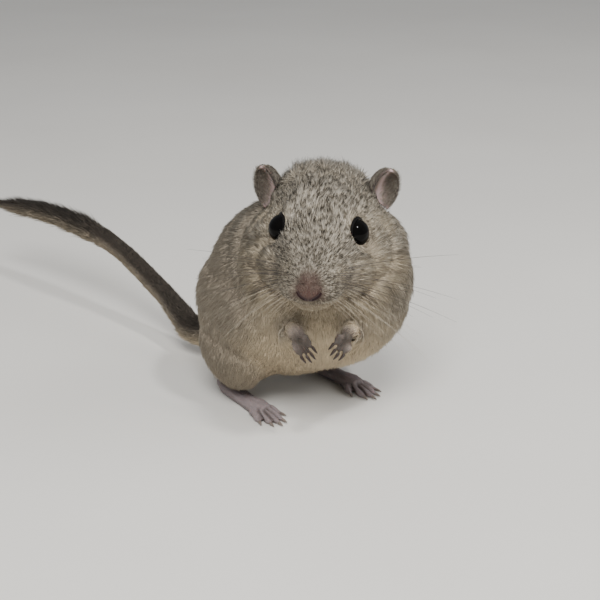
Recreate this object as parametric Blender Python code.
"""A gerbil at life size, sitting up on its hind feet with its head turned to its right.

Frame: +X is the animal's left, -Y is the way its hips face, +Z is up. The soles rest on Z = 0 and the
origin is under the middle of the whole model. Everything is modelled in millimetres about a point on the
floor between the hips' mid-plane and the eyes, and turned to metres at the very end.
"""

import math
import random

import bmesh
import bpy
from mathutils import Euler, Matrix, Vector

# Gap left between nodes, the skins' triangles, and what is cut past a seam before the skin is thinned
METRES = 0.001
GAP = 0.3
HEAD_FACES = 2700
BODY_FACES = 2200
ARM_FACES = 420
SPARE = 3.0
SIDES = {"left": 1, "right": -1}

# The gaze: the head, arms and tail are set out from the floor under the eyes, turned to the animal's right
EYE_HEIGHT = 47.0
EYES_OVER = Vector((-7.0, 0.0, 0.0))
LOOK_TURN = math.radians(35.0)
HEAD_TURN = math.radians(40.7)
HEAD_TILT = math.radians(1.9)

# Eyes and their lids, in the head's own frame: x to its left, y to the back, z up, from between the eyes
EYE_RADIUS = 3.2
EYE_SPREAD = 7.7
EYE_DROP = 0.6
EYE_AXIS = Vector((0.86, -0.42, 0.26)).normalized()
LID_OUT = 1.25
LID_LONG = 3.1
LID_HIGH = 2.8
LID_THICK = 0.55
LID_SLANT = math.radians(38.0)

# Ears
EAR_ROOT = Vector((11.5, 12.0, 0.0))
EAR_AXIS = Vector((0.23, 0.10, 0.97)).normalized()
EAR_FACES = Vector((0.69, -0.72, 0.0))
EAR_RAISE = {"left": 0.4, "right": -0.4}
EAR_LENGTH = 10.8
EAR_HALF_WIDTH = 4.1
EAR_DEPTH = 2.9
EAR_WALL = 0.65

# Feet and their toes, on each side of the hips' mid-plane
FOOT_OUT = 13.2
HEEL_BACK = 33.0
TOE_FRONT = 7.5
CLAW_ROOT = 0.5

# The brush at the tail's end: shares of the tail's length, and rows of locks round its core
BRUSH_START = 0.53
BRUSH_END = 0.9
BRUSH_ROWS = 6
BRUSH_ROUND = 5
BRUSH_CORE = 0.74
BRUSH_SEED = 7
LOCK_REACH = 0.15
LOCK_WIDTH = 3.2
LOCK_THICK = 0.8

FUR_GREY = (0.27, 0.24, 0.21)
FUR_PALE = (0.62, 0.58, 0.52)
SKIN_EAR = (0.22, 0.17, 0.16)
SKIN_FOOT = (0.55, 0.46, 0.43)
EYE_BLACK = (0.004, 0.004, 0.005)
CLAW_DARK = (0.045, 0.03, 0.025)


def looking(side, ahead, height):
    """A point from the floor under the eyes: side to the animal's left, ahead along its gaze."""
    across = Vector((math.cos(LOOK_TURN), -math.sin(LOOK_TURN), 0.0))
    forward = Vector((-math.sin(LOOK_TURN), -math.cos(LOOK_TURN), 0.0))
    return EYES_OVER + across * side + forward * ahead + Vector((0.0, 0.0, height))


def head_frame():
    """The head's own frame, turned to the right and tilted so that its left eye is the lower one."""
    turn = Matrix.Rotation(-HEAD_TURN, 4, "Z") @ Matrix.Rotation(HEAD_TILT, 4, "Y")
    return Matrix.Translation(looking(0.0, 0.0, EYE_HEIGHT)) @ turn


HEAD = head_frame()


# Making and joining solids

def as_object(name, bm):
    """A new object from a bmesh, with its faces turned outwards."""
    bm.normal_update()
    bmesh.ops.recalc_face_normals(bm, faces=bm.faces)
    mesh = bpy.data.meshes.new(name)
    bm.to_mesh(mesh)
    bm.free()
    obj = bpy.data.objects.new(name, mesh)
    bpy.context.scene.collection.objects.link(obj)
    return obj


def applied(obj):
    """The object with its modifiers made part of its mesh."""
    bpy.context.view_layer.update()
    graph = bpy.context.evaluated_depsgraph_get()
    mesh = bpy.data.meshes.new_from_object(obj.evaluated_get(graph))
    obj.modifiers.clear()
    obj.data = mesh
    return obj


def copy_of(obj, name):
    twin = bpy.data.objects.new(name, obj.data.copy())
    bpy.context.scene.collection.objects.link(twin)
    return twin


def removed(*objects):
    for obj in objects:
        bpy.data.objects.remove(obj)


def keep_largest(obj):
    """Drops every closed surface of the object but the largest."""
    bm = bmesh.new()
    bm.from_mesh(obj.data)
    bm.verts.ensure_lookup_table()
    seen = set()
    islands = []
    for start in bm.verts:
        if start in seen:
            continue
        island, edge = {start}, [start]
        while edge:
            vert = edge.pop()
            for link in vert.link_edges:
                other = link.other_vert(vert)
                if other not in island:
                    island.add(other)
                    edge.append(other)
        seen |= island
        islands.append(island)
    islands.sort(key=len)
    for island in islands[:-1]:
        bmesh.ops.delete(bm, geom=list(island), context="VERTS")
    bm.to_mesh(obj.data)
    bm.free()
    return obj


def joined(obj, pieces, solver="EXACT"):
    """One Boolean union of the object with a list of closed pieces, which are then removed."""
    group = bpy.data.collections.new("pieces")
    for piece in pieces:
        group.objects.link(piece)
    union = obj.modifiers.new("join", "BOOLEAN")
    union.operation = "UNION"
    union.solver = solver
    union.operand_type = "COLLECTION"
    union.collection = group
    applied(obj)
    removed(*pieces)
    bpy.data.collections.remove(group)
    return keep_largest(obj)


def carved(obj, cutter, operation="DIFFERENCE", solver="EXACT"):
    """The object less the cutter, or what the two share. The cutter stays."""
    cut = obj.modifiers.new("carve", "BOOLEAN")
    cut.operation = operation
    cut.solver = solver
    cut.object = cutter
    return keep_largest(applied(obj))


def sliced(obj, point, normal):
    """What lies on the normal's side of a plane, closed with a flat face."""
    bm = bmesh.new()
    bm.from_mesh(obj.data)
    everything = bm.verts[:] + bm.edges[:] + bm.faces[:]
    bmesh.ops.bisect_plane(bm, geom=everything, plane_co=point, plane_no=normal, clear_inner=True)
    bmesh.ops.holes_fill(bm, edges=[e for e in bm.edges if e.is_boundary])
    bmesh.ops.triangulate(bm, faces=bm.faces)
    bmesh.ops.recalc_face_normals(bm, faces=bm.faces)
    bm.to_mesh(obj.data)
    bm.free()
    return keep_largest(obj)


def grown(obj, by):
    """A copy of a closed mesh with its skin moved outwards."""
    twin = copy_of(obj, obj.name + "_grown")
    swell = twin.modifiers.new("swell", "DISPLACE")
    swell.mid_level = 0.0
    swell.strength = by
    return applied(twin)


def fused(obj, voxel, softening):
    """Overlapping closed shapes made one skin, with its creases softened."""
    remesh = obj.modifiers.new("fuse", "REMESH")
    remesh.mode = "VOXEL"
    remesh.voxel_size = voxel
    smooth = obj.modifiers.new("soften", "SMOOTH")
    smooth.factor = 0.5
    smooth.iterations = softening
    return applied(obj)


def thinned(obj, triangles):
    """The same skin in fewer triangles."""
    obj.modifiers.new("flat_faces", "TRIANGULATE")
    applied(obj)
    fewer = obj.modifiers.new("fewer", "DECIMATE")
    fewer.ratio = min(1.0, triangles / len(obj.data.polygons))
    return applied(obj)


# Shapes

def blob(bm, centre, half, turn=(0.0, 0.0, 0.0), frame=None, segments=32):
    """An ellipsoid, by its centre, half sizes and turn in degrees."""
    spin = Euler([math.radians(angle) for angle in turn])
    place = (frame or Matrix()) @ Matrix.LocRotScale(Vector(centre), spin, Vector(half))
    rings = segments // 2
    bmesh.ops.create_uvsphere(bm, u_segments=segments, v_segments=rings, radius=1.0, matrix=place)


def through(stations, steps):
    """Stations on a smooth curve through the given ones, each a tuple of numbers."""
    last = len(stations) - 1
    run = []
    for i in range(last):
        a, b, c, d = (Vector(stations[min(max(k, 0), last)]) for k in range(i - 1, i + 3))
        for step in range(steps):
            t = step / steps
            bend = (2 * a - 5 * b + 4 * c - d) * t * t + (3 * b - a - 3 * c + d) * t**3
            run.append((2 * b + (c - a) * t + bend) * 0.5)
    run.append(Vector(stations[-1]))
    return run


def loft(bm, rings):
    """Rings of points joined into one closed skin, with a flat cap at each end."""
    loops = [[bm.verts.new(point) for point in ring] for ring in rings]
    for near, far in zip(loops, loops[1:]):
        for i, vert in enumerate(near):
            j = (i + 1) % len(near)
            bm.faces.new((vert, near[j], far[j], far[i]))
    bm.faces.new(loops[0][::-1])
    bm.faces.new(loops[-1])


def tube(bm, stations, sides=12, flat=1.0):
    """A tapered tube through stations of x, y, z and radius; flat squashes it from top to bottom."""
    points = [Vector(station[:3]) for station in stations]
    rings = []
    for i, (point, station) in enumerate(zip(points, stations)):
        along = (points[min(i + 1, len(points) - 1)] - points[max(i - 1, 0)]).normalized()
        lean = Vector((0.0, 0.0, 1.0)) if abs(along.z) < 0.9 else Vector((0.0, -1.0, 0.0))
        across = along.cross(lean).normalized()
        rise = across.cross(along).normalized()
        ring = []
        for k in range(sides):
            angle = math.tau * k / sides
            ring.append(point + station[3] * (across * math.cos(angle) + rise * (flat * math.sin(angle))))
        rings.append(ring)
    loft(bm, rings)


def capsule(start, end, start_radius, end_radius):
    """Stations of a tapered tube with domed ends."""
    start, end = Vector(start), Vector(end)
    along = (end - start).normalized()
    dome = ((-0.97, 0.25), (-0.72, 0.70), (0.0, 1.0))
    stations = [(*(start + along * start_radius * out), start_radius * wide) for out, wide in dome]
    stations += [(*(end - along * end_radius * out), end_radius * wide) for out, wide in dome[::-1]]
    return stations


# Head

def head_rings():
    """Cross-sections from the nose to the back of the skull, each pear-shaped, less so towards the crown.

    A section's numbers are its place to the back, its middle's height, its half width, its reach up and
    down from the middle, and how much narrower it is above than below.
    """
    sections = [
        (-19.0, -7.5, 0.9, 0.9, 0.9, 0.2),
        (-18.5, -7.5, 2.2, 2.3, 2.2, 0.2),
        (-17.0, -7.4, 3.5, 3.8, 3.6, 0.2),
        (-14.0, -6.8, 5.4, 5.6, 5.2, 0.2),
        (-10.5, -5.6, 7.2, 7.2, 6.8, 0.2),
        (-6.0, -3.8, 8.6, 8.7, 9.2, 0.2),
        (-1.0, -2.0, 9.5, 10.1, 11.6, 0.18),
        (4.0, -1.0, 10.6, 11.2, 12.4, 0.08),
        (10.0, -1.0, 11.9, 12.1, 12.6, -0.08),
        (16.0, -2.0, 11.2, 11.9, 12.0, -0.1),
        (21.0, -4.0, 7.0, 8.0, 8.0, 0.0),
    ]
    sides = 40
    rings = []
    for back, middle, wide, up, down, pear in through(sections, 4):
        ring = []
        for k in range(sides):
            angle = math.tau * k / sides
            rise = math.sin(angle)
            x = wide * math.cos(angle) * (1.0 - pear * rise)
            z = middle + rise * (up if rise > 0.0 else down)
            ring.append(HEAD @ Vector((x, back, z)))
        rings.append(ring)
    return rings


def head_form():
    """Skull, cheeks, whisker pads, chin and nose, fused."""
    bm = bmesh.new()
    loft(bm, head_rings())
    for side in SIDES.values():
        blob(bm, (side * 8.2, 5.0, -6.4), (6.9, 10.0, 7.8), frame=HEAD)
        blob(bm, (side * 6.4, -4.0, -7.2), (4.4, 9.5, 6.2), turn=(0.0, 0.0, side * -32.0), frame=HEAD)
        blob(bm, (side * 3.2, -12.4, -8.6), (3.5, 5.0, 3.3), frame=HEAD)
        blob(bm, (side * 6.2, 1.5, 3.2), (2.2, 4.6, 2.2), frame=HEAD)
    blob(bm, (0.0, -7.6, -11.6), (5.4, 7.0, 3.6), frame=HEAD)
    blob(bm, (0.0, -17.3, -7.5), (2.8, 2.3, 2.6), frame=HEAD)
    return fused(as_object("head_form", bm), voxel=0.6, softening=12)


# Body

def body_form():
    """Rump and back in line with the hips, chest, shoulders and neck turned to the right with the gaze."""
    bm = bmesh.new()
    level = (0.0, 0.0, -math.degrees(LOOK_TURN))
    blob(bm, (0.0, 22.0, 24.0), (21.9, 22.5, 18.0))
    blob(bm, (0.0, 21.0, 27.0), (20.0, 20.0, 21.5))
    blob(bm, looking(1.5, -8.0, 32.0), (19.8, 13.0, 20.0), turn=level)
    blob(bm, looking(1.5, -11.0, 40.0), (18.5, 11.0, 11.5), turn=level)
    blob(bm, looking(1.0, -14.0, 38.0), (15.5, 14.0, 13.5), turn=level)
    blob(bm, (0.0, 38.0, 14.0), (8.0, 7.0, 7.5))
    for side in SIDES.values():
        blob(bm, (side * 13.6, 24.0, 15.0), (7.4, 12.0, 11.0), turn=(20.0, 0.0, 0.0))
        hip = (side * 13.4, 26.5, 13.5)
        tube(bm, capsule(hip, (side * (FOOT_OUT - 0.4), 28.4, 4.6), 7.4, 3.0), sides=20)
    return fused(as_object("body_form", bm), voxel=0.9, softening=12)


def tail_stations():
    """The tail's centre line and its furred radius, from the rump out to the tip of the brush."""
    stations = [
        (-19.0, -38.0, 10.0, 5.4),
        (-25.5, -42.0, 7.4, 4.2),
        (-32.0, -46.0, 7.2, 3.5),
        (-39.0, -55.0, 12.3, 2.65),
        (-50.8, -68.0, 19.4, 2.3),
        (-57.5, -75.0, 21.8, 2.6),
        (-64.4, -82.0, 23.0, 2.9),
        (-71.5, -89.0, 23.5, 3.0),
        (-78.9, -96.0, 23.4, 2.3),
        (-86.4, -103.0, 22.9, 1.3),
        (-94.9, -110.0, 22.0, 0.3),
    ]
    return [(*looking(side, ahead, height), radius) for side, ahead, height, radius in stations]


def tail_form(slimming=1.0):
    """The tail's own shape; slimming leaves room for the locks that lie over its end."""
    line = [(*station[:3], station[3] * slimming) for station in through(tail_stations(), 2)]
    bm = bmesh.new()
    tube(bm, line, sides=14)
    return as_object("tail_form", bm)


# The parts that grow from the skin

def ear(name, side):
    """A cupped ear with a thin wall on a short stalk, from the head's own frame."""
    foot = Vector((side * EAR_ROOT.x, EAR_ROOT.y, EAR_ROOT.z + EAR_RAISE[name]))
    axis = Vector((side * EAR_AXIS.x, EAR_AXIS.y, EAR_AXIS.z))
    faces = Vector((side * EAR_FACES.x, EAR_FACES.y, EAR_FACES.z))
    across = axis.cross(faces).normalized()
    faces = across.cross(axis).normalized()
    middle = foot + axis * EAR_LENGTH * 0.48
    place = Matrix.Translation(middle) @ Matrix((across, faces, axis)).transposed().to_4x4()

    def cup(name, wall):
        bm = bmesh.new()
        half = (EAR_HALF_WIDTH - wall, EAR_DEPTH - wall, EAR_LENGTH / 2 - wall)
        blob(bm, (0.0, 0.0, 0.0), half, segments=22)
        for vert in bm.verts:
            low = max(0.0, -vert.co.z / half[2])
            vert.co.x *= 1.0 - 0.34 * low * low
        bm.transform(HEAD @ place)
        return as_object(name, bm)

    shell = cup("ear_shell", 0.0)
    hollow = cup("ear_hollow", EAR_WALL)
    hollow.location = HEAD.to_3x3() @ (faces * EAR_WALL)
    front = HEAD @ (place @ Vector((0.0, 0.75, 0.0)))
    shell = sliced(shell, front, -(HEAD.to_3x3() @ faces))
    shell = carved(shell, hollow)
    stalk = bmesh.new()
    low = HEAD @ (foot - axis * 3.0)
    high = HEAD @ (foot + axis * 1.0 - faces * 1.7)
    tube(stalk, capsule(low, high, 2.6, 1.6), sides=12)
    shell = joined(shell, [as_object("stalk", stalk)])
    removed(hollow)
    return shell


def lid_ring(side):
    """The rim of the lids, an oval ring round the eye's opening."""
    out = Vector((side * EYE_AXIS.x, EYE_AXIS.y, EYE_AXIS.z))
    level = Vector((0.0, 0.0, 1.0)).cross(out).normalized() * side
    rise = out.cross(level).normalized() * side
    long_way = level * math.cos(LID_SLANT) + rise * math.sin(LID_SLANT)
    high_way = out.cross(long_way).normalized()
    centre = Vector((side * EYE_SPREAD, 0.0, -EYE_DROP)) + out * LID_OUT
    sweep = 28
    bm = bmesh.new()
    loops = []
    for k in range(sweep):
        angle = math.tau * k / sweep
        radial = long_way * (LID_LONG * math.cos(angle)) + high_way * (LID_HIGH * math.sin(angle))
        away = radial.normalized()
        loop = []
        for m in range(6):
            turn = math.tau * m / 6
            point = centre + radial + (away * math.cos(turn) + out * math.sin(turn)) * LID_THICK
            loop.append(bm.verts.new(HEAD @ point))
        loops.append(loop)
    for k, near in enumerate(loops):
        far = loops[(k + 1) % sweep]
        for m, vert in enumerate(near):
            n = (m + 1) % 6
            bm.faces.new((vert, near[n], far[n], far[m]))
    return as_object("lid", bm)


def eye_ball(name, side, radius):
    bm = bmesh.new()
    centre = (side * EYE_SPREAD, 0.0, -EYE_DROP)
    blob(bm, centre, (radius, radius, radius), frame=HEAD, segments=20)
    return as_object(name, bm)


def nostril(side):
    """A comma-shaped slit, low at the middle of the nose and curling up towards its side."""
    line = [(0.75, -19.6, -8.7, 0.3), (1.3, -19.5, -8.5, 0.42), (1.9, -18.8, -7.9, 0.45),
            (2.1, -18.4, -7.2, 0.3)]
    bm = bmesh.new()
    tube(bm, [(*(HEAD @ Vector((side * x, y, z))), radius) for x, y, z, radius in line], sides=7)
    return as_object("nostril", bm)


def mouth_cutter():
    """The groove of the mouth, from one corner round under the nose to the other."""
    corners = [(-5.0, -10.2, -12.6), (-3.2, -14.3, -12.3), (0.0, -16.3, -11.3), (3.2, -14.3, -12.3),
               (5.0, -10.2, -12.6)]
    bm = bmesh.new()
    tube(bm, [(*(HEAD @ point), 0.42) for point in through(corners, 4)], sides=6)
    return as_object("mouth", bm)


def philtrum_cutter():
    """The short groove from the nose down to the lip."""
    line = ((0.0, -19.5, -8.6), (0.0, -18.9, -9.8), (0.0, -17.0, -11.4))
    bm = bmesh.new()
    tube(bm, [(*(HEAD @ Vector(point)), 0.24) for point in line], sides=6)
    return as_object("philtrum", bm)


# Tail brush

def lock(line, place, reach, angle, width):
    """A flat, tapered lock of fur that lies back over the tail's end, at an angle round it."""
    shape = ((0.0, 0.55, 0.42), (0.35, 1.0, 0.84), (0.7, 0.75, 0.98), (1.0, 0.08, 1.1))
    rings = []
    for along, wide, out_to in shape:
        at = place + reach * along
        near = min(int(at), len(line) - 2)
        here = line[near].lerp(line[near + 1], at - near)
        ahead = (Vector(line[near + 1][:3]) - Vector(line[near][:3])).normalized()
        level = ahead.cross(Vector((0.0, 0.0, 1.0))).normalized()
        out = level * math.sin(angle) + level.cross(ahead) * math.cos(angle)
        across = ahead.cross(out)
        upper = 0.5 + 0.5 * math.cos(angle)
        centre = Vector(here[:3]) + out * (max(here[3], 0.7) * (out_to + 0.14 * upper * along))
        half = across * (width / 2 * wide)
        thick = out * (LOCK_THICK / 2 * (0.35 + 0.65 * wide))
        rings.append([centre + half, centre + thick, centre - half, centre - thick])
    bm = bmesh.new()
    loft(bm, rings)
    return as_object("lock", bm)


def brush_locks():
    """Rows of locks round the end of the tail, longest along its upper side."""
    chance = random.Random(BRUSH_SEED)
    line = through(tail_stations(), 4)
    last = len(line) - 1
    locks = []
    for row in range(BRUSH_ROWS):
        along = row / (BRUSH_ROWS - 1)
        place = last * (BRUSH_START + (BRUSH_END - BRUSH_START) * along)
        for k in range(BRUSH_ROUND):
            angle = math.tau * (k + 0.5 * (row % 2) + chance.uniform(-0.1, 0.1)) / BRUSH_ROUND
            reach = last * LOCK_REACH * chance.uniform(0.9, 1.1) * (1.0 - 0.35 * along)
            locks.append(lock(line, place, reach, angle, LOCK_WIDTH * (1.0 - 0.45 * along)))
    return locks


# Limbs

def hind_foot(side):
    """A long flat foot with five toes, its sole cut level with the floor."""
    out = side * FOOT_OUT
    heel = out - side * 0.8
    sole = [
        (heel, HEEL_BACK, 2.8, 0.8),
        (heel, HEEL_BACK - 0.8, 2.4, 1.8),
        (heel, 29.5, 1.6, 2.5),
        (out - side * 0.4, 25.0, 1.4, 2.3),
        (out, 19.5, 1.25, 2.1),
        (out, 15.5, 1.5, 2.5),
        (out, 13.0, 1.35, 2.3),
        (out, 12.0, 0.8, 1.5),
    ]
    bm = bmesh.new()
    tube(bm, sole, sides=12, flat=0.76)
    foot = as_object("foot", bm)
    toes = []
    for root, tip in toe_lines(side):
        bm = bmesh.new()
        middle = (root + tip) / 2 + Vector((0.0, 0.0, 0.45))
        line = [(*root, 1.05), (*middle, 0.85), (*(tip + (middle - tip) * 0.3), 0.85), (*tip, 0.75)]
        end = (tip - middle).normalized()
        line += [(*(tip + end * 0.42), 0.5), (*(tip + end * 0.55), 0.25)]
        tube(bm, line, sides=8)
        toes.append(as_object("toe", bm))
    foot = joined(foot, toes)
    return sliced(foot, Vector((0.0, 0.0, 0.0)), Vector((0.0, 0.0, 1.0)))


def toe_lines(side):
    """Root and tip of each toe, from the inner one to the outer."""
    out = side * FOOT_OUT
    spread = ((-1.9, -2.9, 4.2), (-1.1, -1.6, 1.0), (0.1, 0.0, 0.0), (1.2, 1.6, 0.9), (1.9, 3.0, 3.0))
    lines = []
    for at_root, at_tip, short in spread:
        root = Vector((out + side * at_root, 15.0, 0.95))
        tip = Vector((out + side * at_tip, TOE_FRONT + 0.5 + short, 0.6))
        lines.append((root, tip))
    return lines


def claw(name, tip, ahead, down, length):
    """A curved, pointed claw that starts just clear of its digit's tip."""
    start = tip + ahead * (GAP + 0.62)
    reach = ahead * length
    line = [
        (*start, CLAW_ROOT * 0.9),
        (*(start + reach * 0.45 + down * length * 0.05), CLAW_ROOT * 0.75),
        (*(start + reach * 0.8 + down * length * 0.17), CLAW_ROOT * 0.42),
        (*(start + reach + down * length * 0.32), 0.1),
    ]
    bm = bmesh.new()
    tube(bm, line, sides=6)
    return as_object(name, bm)


ARMS = {
    "left": {"shoulder": (11.0, -8.0, 29.0), "elbow": (9.5, -5.0, 21.0), "wrist": (6.7, 7.0, 25.7)},
    "right": {"shoulder": (-11.0, -8.0, 29.0), "elbow": (-8.0, -5.0, 21.5), "wrist": (-5.4, 7.0, 26.1)},
}
PAW_TIPS = {"left": (4.4, 9.6, 23.4), "right": (-2.7, 9.6, 22.8)}


def fore_leg(name):
    joints = {key: looking(*place) for key, place in ARMS[name].items()}
    bm = bmesh.new()
    tube(bm, capsule(joints["shoulder"], joints["elbow"], 5.0, 3.4), sides=16)
    tube(bm, capsule(joints["elbow"], joints["wrist"], 3.3, 2.1), sides=16)
    return fused(as_object("fore_leg", bm), voxel=0.55, softening=5)


def finger_lines(name, side):
    """Root and tip of each of the four fingers, and the way the hand hangs."""
    wrist = looking(*ARMS[name]["wrist"])
    tip = looking(*PAW_TIPS[name])
    down = (tip - wrist).normalized()
    toward = looking(0.0, 1.0, 0.0) - looking(0.0, 0.0, 0.0)
    across = down.cross(toward).normalized() * -side
    lines = []
    for place, short in ((-1.5, 0.9), (-0.5, 0.1), (0.55, 0.0), (1.6, 0.7)):
        root = wrist + down * 2.0 + across * place * 0.85
        end = tip - down * short + across * place * 1.05 + toward * 0.5
        lines.append((root, end))
    return lines, down, toward


def fore_paw(name, side):
    lines, down, toward = finger_lines(name, side)
    wrist = looking(*ARMS[name]["wrist"])
    palm = bmesh.new()
    tube(palm, capsule(wrist - down * 0.6, wrist + down * 2.4, 1.75, 1.95), sides=12)
    fingers = []
    for root, end in lines:
        bm = bmesh.new()
        knuckle = (root + end) / 2 + toward * 0.55
        tube(bm, [(*root, 0.95), (*knuckle, 0.82), (*end, 0.66), (*(end + down * 0.45), 0.42),
                  (*(end + down * 0.6), 0.2)], sides=7)
        fingers.append(as_object("finger", bm))
    return joined(as_object("fore_paw", palm), fingers)


# Assembly

HEAD_CUT = (HEAD @ Vector((0.0, -3.0, -15.6)), HEAD.to_3x3() @ Vector((0.0, -0.74, 0.67)).normalized())
NECK_CUT = (Vector((-4.0, -2.0, 27.5)), Vector((-0.22, -0.52, 0.82)).normalized())
TAIL_CUTS = (3, 5)


def thigh_cutter(side, by):
    bm = bmesh.new()
    blob(bm, (side * 18.0, 25.0, 10.0), (9.6 + by, 14.5 + by, 14.5 + by), turn=(20.0, 0.0, side * -8.0))
    return as_object("thigh_cutter", bm)


def make_head(head):
    """Lids, eyes, nostrils and mouth worked into the head."""
    head = joined(head, [lid_ring(side) for side in SIDES.values()])
    cutters = [eye_ball("socket", side, EYE_RADIUS + GAP) for side in SIDES.values()]
    cutters += [nostril(side) for side in SIDES.values()]
    cutters += [mouth_cutter(), philtrum_cutter()]
    for cutter in cutters:
        carved(head, cutter)
        removed(cutter)
    return head


def make_tail(body):
    """The tail in three lengths, its root clear of the rump."""
    pieces = {}
    line = tail_stations()
    cuts = [(Vector(line[i][:3]), (Vector(line[i + 1][:3]) - Vector(line[i - 1][:3])).normalized())
            for i in TAIL_CUTS]
    form = tail_form()
    rump = grown(body, GAP)
    root = carved(copy_of(form, "tail_root"), rump)
    removed(rump)
    (first, first_way), (second, second_way) = cuts
    pieces["tail_root"] = sliced(root, first - first_way * GAP / 2, -first_way)
    middle = sliced(copy_of(form, "tail_middle"), first + first_way * GAP / 2, first_way)
    pieces["tail_middle"] = sliced(middle, second - second_way * GAP / 2, -second_way)
    brush = joined(tail_form(BRUSH_CORE), brush_locks())
    pieces["tail_brush"] = sliced(brush, second + second_way * GAP / 2, second_way)
    removed(form)
    return pieces


def finish(obj, name, colour, roughness):
    """Names the node, gives it its own material and shades it."""
    obj.name = name
    obj.data.name = name
    material = bpy.data.materials.new(name)
    material.use_nodes = True
    shader = material.node_tree.nodes["Principled BSDF"]
    shader.inputs["Base Color"].default_value = (*colour, 1.0)
    shader.inputs["Roughness"].default_value = roughness
    shader.inputs["Metallic"].default_value = 0.0
    obj.data.materials.clear()
    obj.data.materials.append(material)
    obj.data.shade_smooth()
    obj.data.set_sharp_from_angle(angle=math.radians(50.0))
    return obj


def build():
    nodes = []
    body = body_form()
    head = head_form()
    whole = copy_of(body, "whole")
    whole = joined(whole, [copy_of(head, "skull")], "MANIFOLD")
    whole = fused(whole, voxel=0.75, softening=3)
    removed(head, body)
    whole = sliced(whole, Vector((0.0, 0.0, 1.2)), Vector((0.0, 0.0, 1.0)))

    point, normal = HEAD_CUT
    head = thinned(sliced(copy_of(whole, "head"), point - normal * SPARE, normal), HEAD_FACES)
    body = thinned(sliced(copy_of(whole, "body"), point + normal * SPARE, -normal), BODY_FACES)
    removed(whole)
    skull = grown(head, GAP)
    head = sliced(head, point + normal * GAP / 2, normal)
    body = sliced(body, point - normal * GAP / 2, -normal)

    for name, side in SIDES.items():
        lobe = carved(ear(name, side), skull)
        nodes.append(finish(lobe, "ear_" + name, SKIN_EAR, 0.7))
        nodes.append(finish(eye_ball("eye", side, EYE_RADIUS), "eye_" + name, EYE_BLACK, 0.05))
    removed(skull)
    nodes.append(finish(make_head(head), "head", FUR_GREY, 0.9))

    for name, piece in make_tail(body).items():
        nodes.append(finish(piece, name, FUR_GREY, 0.9))

    coat = grown(body, GAP)
    for name, side in SIDES.items():
        arm = fore_leg(name)
        paw = fore_paw(name, side)
        clear = grown(paw, GAP)
        arm = thinned(arm, ARM_FACES)
        carved(arm, coat)
        carved(arm, clear)
        removed(clear)
        nodes.append(finish(arm, "fore_leg_" + name, FUR_PALE, 0.9))
        nodes.append(finish(paw, "fore_paw_" + name, SKIN_FOOT, 0.6))
        lines, down, toward = finger_lines(name, side)
        for number, (root, end) in enumerate(lines, 1):
            nodes.append(finish(claw("claw", end, down, toward * -1.0, 2.3),
                                f"fore_claw_{name}_{number}", CLAW_DARK, 0.35))
    removed(coat)

    point, normal = NECK_CUT
    neck = sliced(copy_of(body, "neck"), point + normal * GAP / 2, normal)
    nodes.append(finish(neck, "neck", FUR_GREY, 0.9))
    body = sliced(body, point - normal * GAP / 2, -normal)

    for name, side in SIDES.items():
        foot = hind_foot(side)
        clear = grown(foot, GAP)
        carved(body, clear)
        tight, wide = thigh_cutter(side, 0.0), thigh_cutter(side, GAP)
        leg = carved(copy_of(body, "leg"), tight, "INTERSECT")
        carved(body, wide)
        removed(tight, wide, clear)
        nodes.append(finish(leg, "hind_leg_" + name, FUR_GREY, 0.9))
        nodes.append(finish(foot, "hind_foot_" + name, SKIN_FOOT, 0.6))
        for number, (root, tip) in enumerate(toe_lines(side), 1):
            ahead = Vector((tip.x - root.x, tip.y - root.y, 0.0)).normalized()
            nodes.append(finish(claw("claw", tip, ahead, Vector((0.0, 0.0, -0.3)), 1.9),
                                f"hind_claw_{name}_{number}", CLAW_DARK, 0.35))
    nodes.append(finish(body, "torso", FUR_GREY, 0.9))
    seat(nodes)


def seat(nodes):
    """Turns millimetres to metres and puts the origin under the middle of the model."""
    corners = [vert.co for node in nodes for vert in node.data.vertices]
    low = Vector([min(co[axis] for co in corners) for axis in range(3)])
    high = Vector([max(co[axis] for co in corners) for axis in range(3)])
    middle = (low + high) / 2
    place = Matrix.Scale(METRES, 4) @ Matrix.Translation(Vector((-middle.x, -middle.y, -low.z)))
    for node in nodes:
        node.data.transform(place)


for leftover in list(bpy.data.objects):
    bpy.data.objects.remove(leftover)
build()
